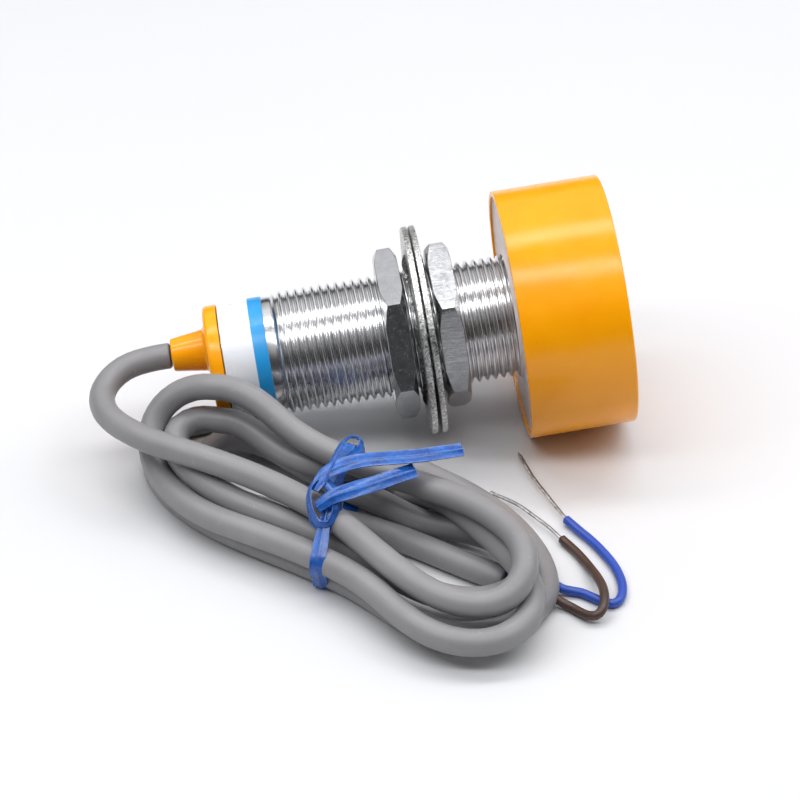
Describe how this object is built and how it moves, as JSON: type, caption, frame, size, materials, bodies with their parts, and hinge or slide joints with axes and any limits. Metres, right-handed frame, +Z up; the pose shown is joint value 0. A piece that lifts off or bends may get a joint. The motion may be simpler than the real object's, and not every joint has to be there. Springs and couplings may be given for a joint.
{
  "type": "inductive proximity sensor",
  "caption": "Cylindrical inductive proximity sensor with an oversize round sensing head, threaded barrel, lock nuts, toothed washers and a tied hank of cable.",
  "frame": {"origin": "on the surface the sensor lies on, below the middle of the sensor without its cable", "axes": "+Z up from the surface; +X along the sensor seen from above, towards its sensing face; +Y away from the hank"},
  "size_m": [0.1328, 0.1307, 0.0636],
  "materials": {
    "orange_plastic": "satin moulded thermoplastic",
    "nickel_plate": "bright nickel plate on brass",
    "zinc_plate": "zinc-plated spring steel, rough stamped rims",
    "label_film": "printed film, white with a blue band",
    "casting_resin": "cast resin",
    "ferrite": "sintered ferrite",
    "copper_wire": "enamelled copper wire",
    "nylon": "natural nylon",
    "board_green": "solder-masked laminate",
    "black_epoxy": "moulded epoxy",
    "component_blue": "moulded plastic",
    "component_yellow": "dipped resin",
    "component_beige": "lacquered ceramic",
    "seal_rubber": "soft nitrile rubber",
    "grey_pvc": "matt flexible PVC jacket",
    "blue_pvc": "soft PVC insulation",
    "brown_pvc": "soft PVC insulation",
    "tinned_strands": "twisted tinned copper strands",
    "tie_film": "shiny plastic ribbon"
  },
  "bodies": {
    "sensor": {"head_cap": "orange_plastic", "rear_cap": "orange_plastic", "barrel": "nickel_plate", "cable_crimp_ring": "nickel_plate", "label_sleeve": "label_film", "head_potting": "casting_resin", "rear_potting": "casting_resin", "ferrite_core": "ferrite", "coil_winding": "copper_wire", "coil_lead_left": "copper_wire", "coil_lead_right": "copper_wire", "coil_bobbin": "nylon", "insulation_sleeve": "nylon", "circuit_board": "board_green", "oscillator_chip": "black_epoxy", "thyristor": "black_epoxy", "bridge_rectifier": "black_epoxy", "zener_diode": "black_epoxy", "sensitivity_trimmer": "component_blue", "smoothing_capacitor": "component_blue", "film_capacitor": "component_yellow", "dropper_resistor": "component_beige", "cap_seal": "seal_rubber", "cable_lead": "grey_pvc", "cable_hank": "grey_pvc", "cable_end_inside": "grey_pvc", "wire_blue": "blue_pvc", "core_wire_blue": "blue_pvc", "wire_brown": "brown_pvc", "core_wire_brown": "brown_pvc", "strands_blue": "tinned_strands", "strands_brown": "tinned_strands", "cable_tie": "tie_film"},
    "nut_rear": {"nut_rear": "nickel_plate"},
    "washer_rear": {"washer_rear": "zinc_plate"},
    "nut_front": {"nut_front": "nickel_plate"},
    "washer_front": {"washer_front": "zinc_plate"}
  },
  "joints": [
    {"name": "washer_rear_travel", "type": "slide", "parent": "sensor", "child": "washer_rear", "axis": [0.9928, 0, 0.1196], "range_m": [-0.014, 0]},
    {"name": "nut_rear_turn", "type": "hinge", "parent": "washer_rear", "child": "nut_rear", "pos_m": [-0.00114, 0, 0.02691], "axis": [0.9928, 0, 0.1196], "range_deg": [-2520, 0]},
    {"name": "washer_front_travel", "type": "slide", "parent": "sensor", "child": "washer_front", "axis": [0.9928, 0, 0.1196], "range_m": [0, 0.012]},
    {"name": "nut_front_turn", "type": "hinge", "parent": "washer_front", "child": "nut_front", "pos_m": [0.01147, 0, 0.02843], "axis": [0.9928, 0, 0.1196], "range_deg": [0, 2160]}
  ],
  "couplings": [
    {"joint": "washer_rear_travel", "follows": "nut_rear_turn", "m_per_rad": 0.0003183},
    {"joint": "washer_front_travel", "follows": "nut_front_turn", "m_per_rad": 0.0003183}
  ]
}
